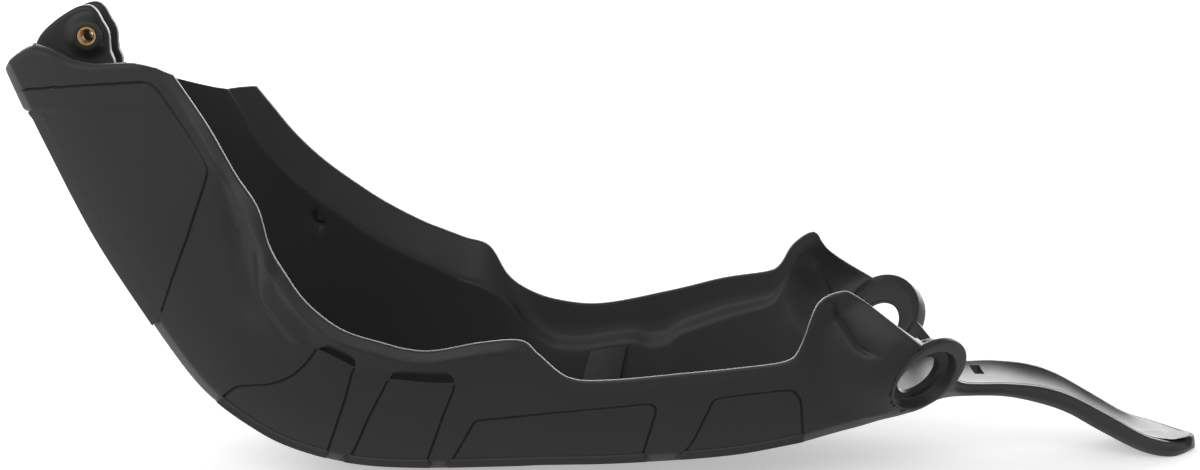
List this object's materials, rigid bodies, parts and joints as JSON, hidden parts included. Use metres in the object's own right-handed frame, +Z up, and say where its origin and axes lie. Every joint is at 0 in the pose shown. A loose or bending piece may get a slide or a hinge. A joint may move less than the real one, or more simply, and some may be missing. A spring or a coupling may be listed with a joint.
{
  "type": "motorcycle skid plate",
  "caption": "Moulded plastic under-engine guard: upswept front, open trough with grooved side panels, ears with brass inserts, angled rear bosses and a narrow tail.",
  "frame": {"origin": "centre of the bounding box in X and Y, at the lowest point in Z", "axes": "+X to the rear of the motorcycle, +Y to its right side, +Z up"},
  "size_m": [0.63, 0.192, 0.239],
  "materials": {
    "black_plastic": "satin moulded",
    "brass": "machined, dull"
  },
  "bodies": {
    "root": {"plate": "black_plastic", "insert_left": "brass", "insert_right": "brass"}
  },
  "joints": []
}
